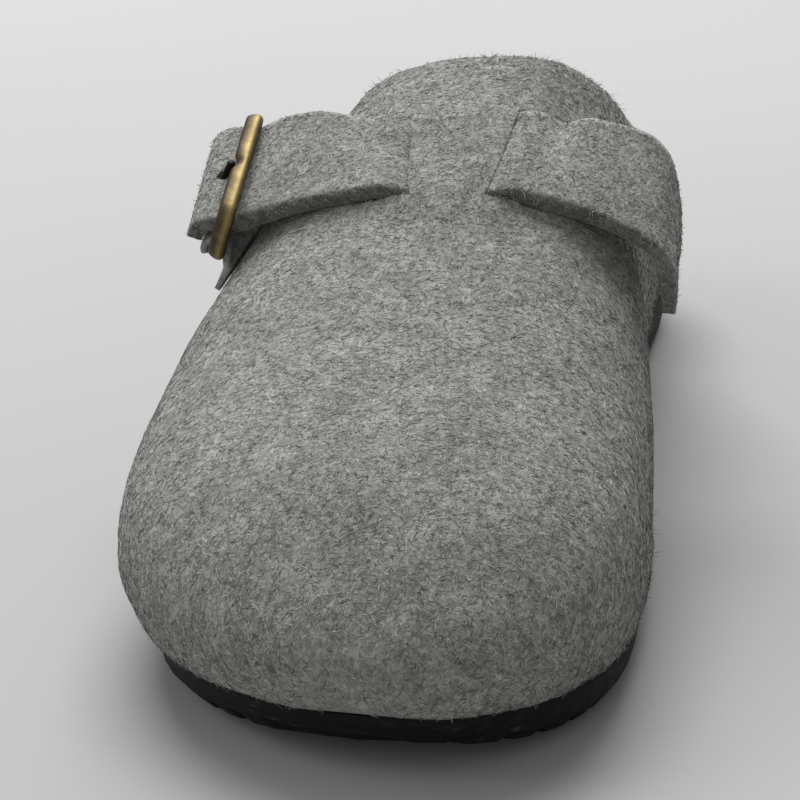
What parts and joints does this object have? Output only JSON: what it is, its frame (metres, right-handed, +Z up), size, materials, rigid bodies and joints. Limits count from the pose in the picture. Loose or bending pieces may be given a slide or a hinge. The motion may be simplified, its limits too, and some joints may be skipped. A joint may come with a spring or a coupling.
{
  "type": "closed-toe felt clog slipper",
  "caption": "Right-foot felt clog slipper with an open heel, an instep strap held by a metal buckle, a contoured footbed and a black lugged sole.",
  "frame": {"origin": "middle of the shoe's box on the floor that it stands on", "axes": "+Y from toe to heel, +X to the medial side, +Z up"},
  "size_m": [0.1064, 0.2684, 0.093],
  "materials": {
    "felt": "mottled light grey wool felt with a soft nap",
    "sole": "matt black moulded foam rubber",
    "footbed": "dark matt moulded foam with a felt top",
    "brass": "aged satin brass"
  },
  "bodies": {
    "root": {"outsole": "sole", "footbed": "footbed", "upper": "felt", "strap": "felt", "buckle_tab": "felt", "buckle_frame": "brass", "buckle_prong": "brass"}
  },
  "joints": []
}
